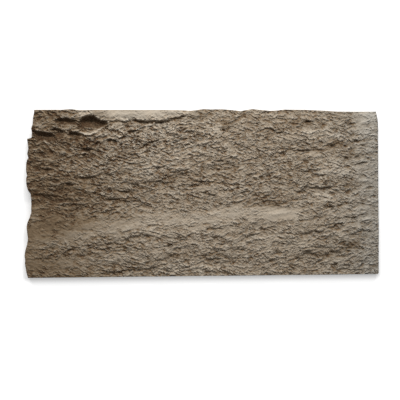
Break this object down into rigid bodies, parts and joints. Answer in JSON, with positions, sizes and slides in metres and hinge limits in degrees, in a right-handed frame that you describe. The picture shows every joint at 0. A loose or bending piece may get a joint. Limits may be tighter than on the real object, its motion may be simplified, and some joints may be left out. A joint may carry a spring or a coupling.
{
  "type": "faux stone wall panel",
  "caption": "Lightweight wall cladding panel with a riven stone face, a flat back for bonding, a ragged left joint edge and straight right and bottom edges.",
  "frame": {"origin": "centre of the flat back, below the middle of the panel's box", "axes": "+X along the panel towards its straight right edge, +Y up the wall towards the uneven top edge, +Z out of the wall; it is stored lying on its back"},
  "size_m": [1.2, 0.565, 0.0366],
  "materials": {
    "faux_stone": "matt painted stone texture, brown grey, darker in the hollows"
  },
  "bodies": {
    "root": {"stone_panel": "faux_stone"}
  },
  "joints": []
}
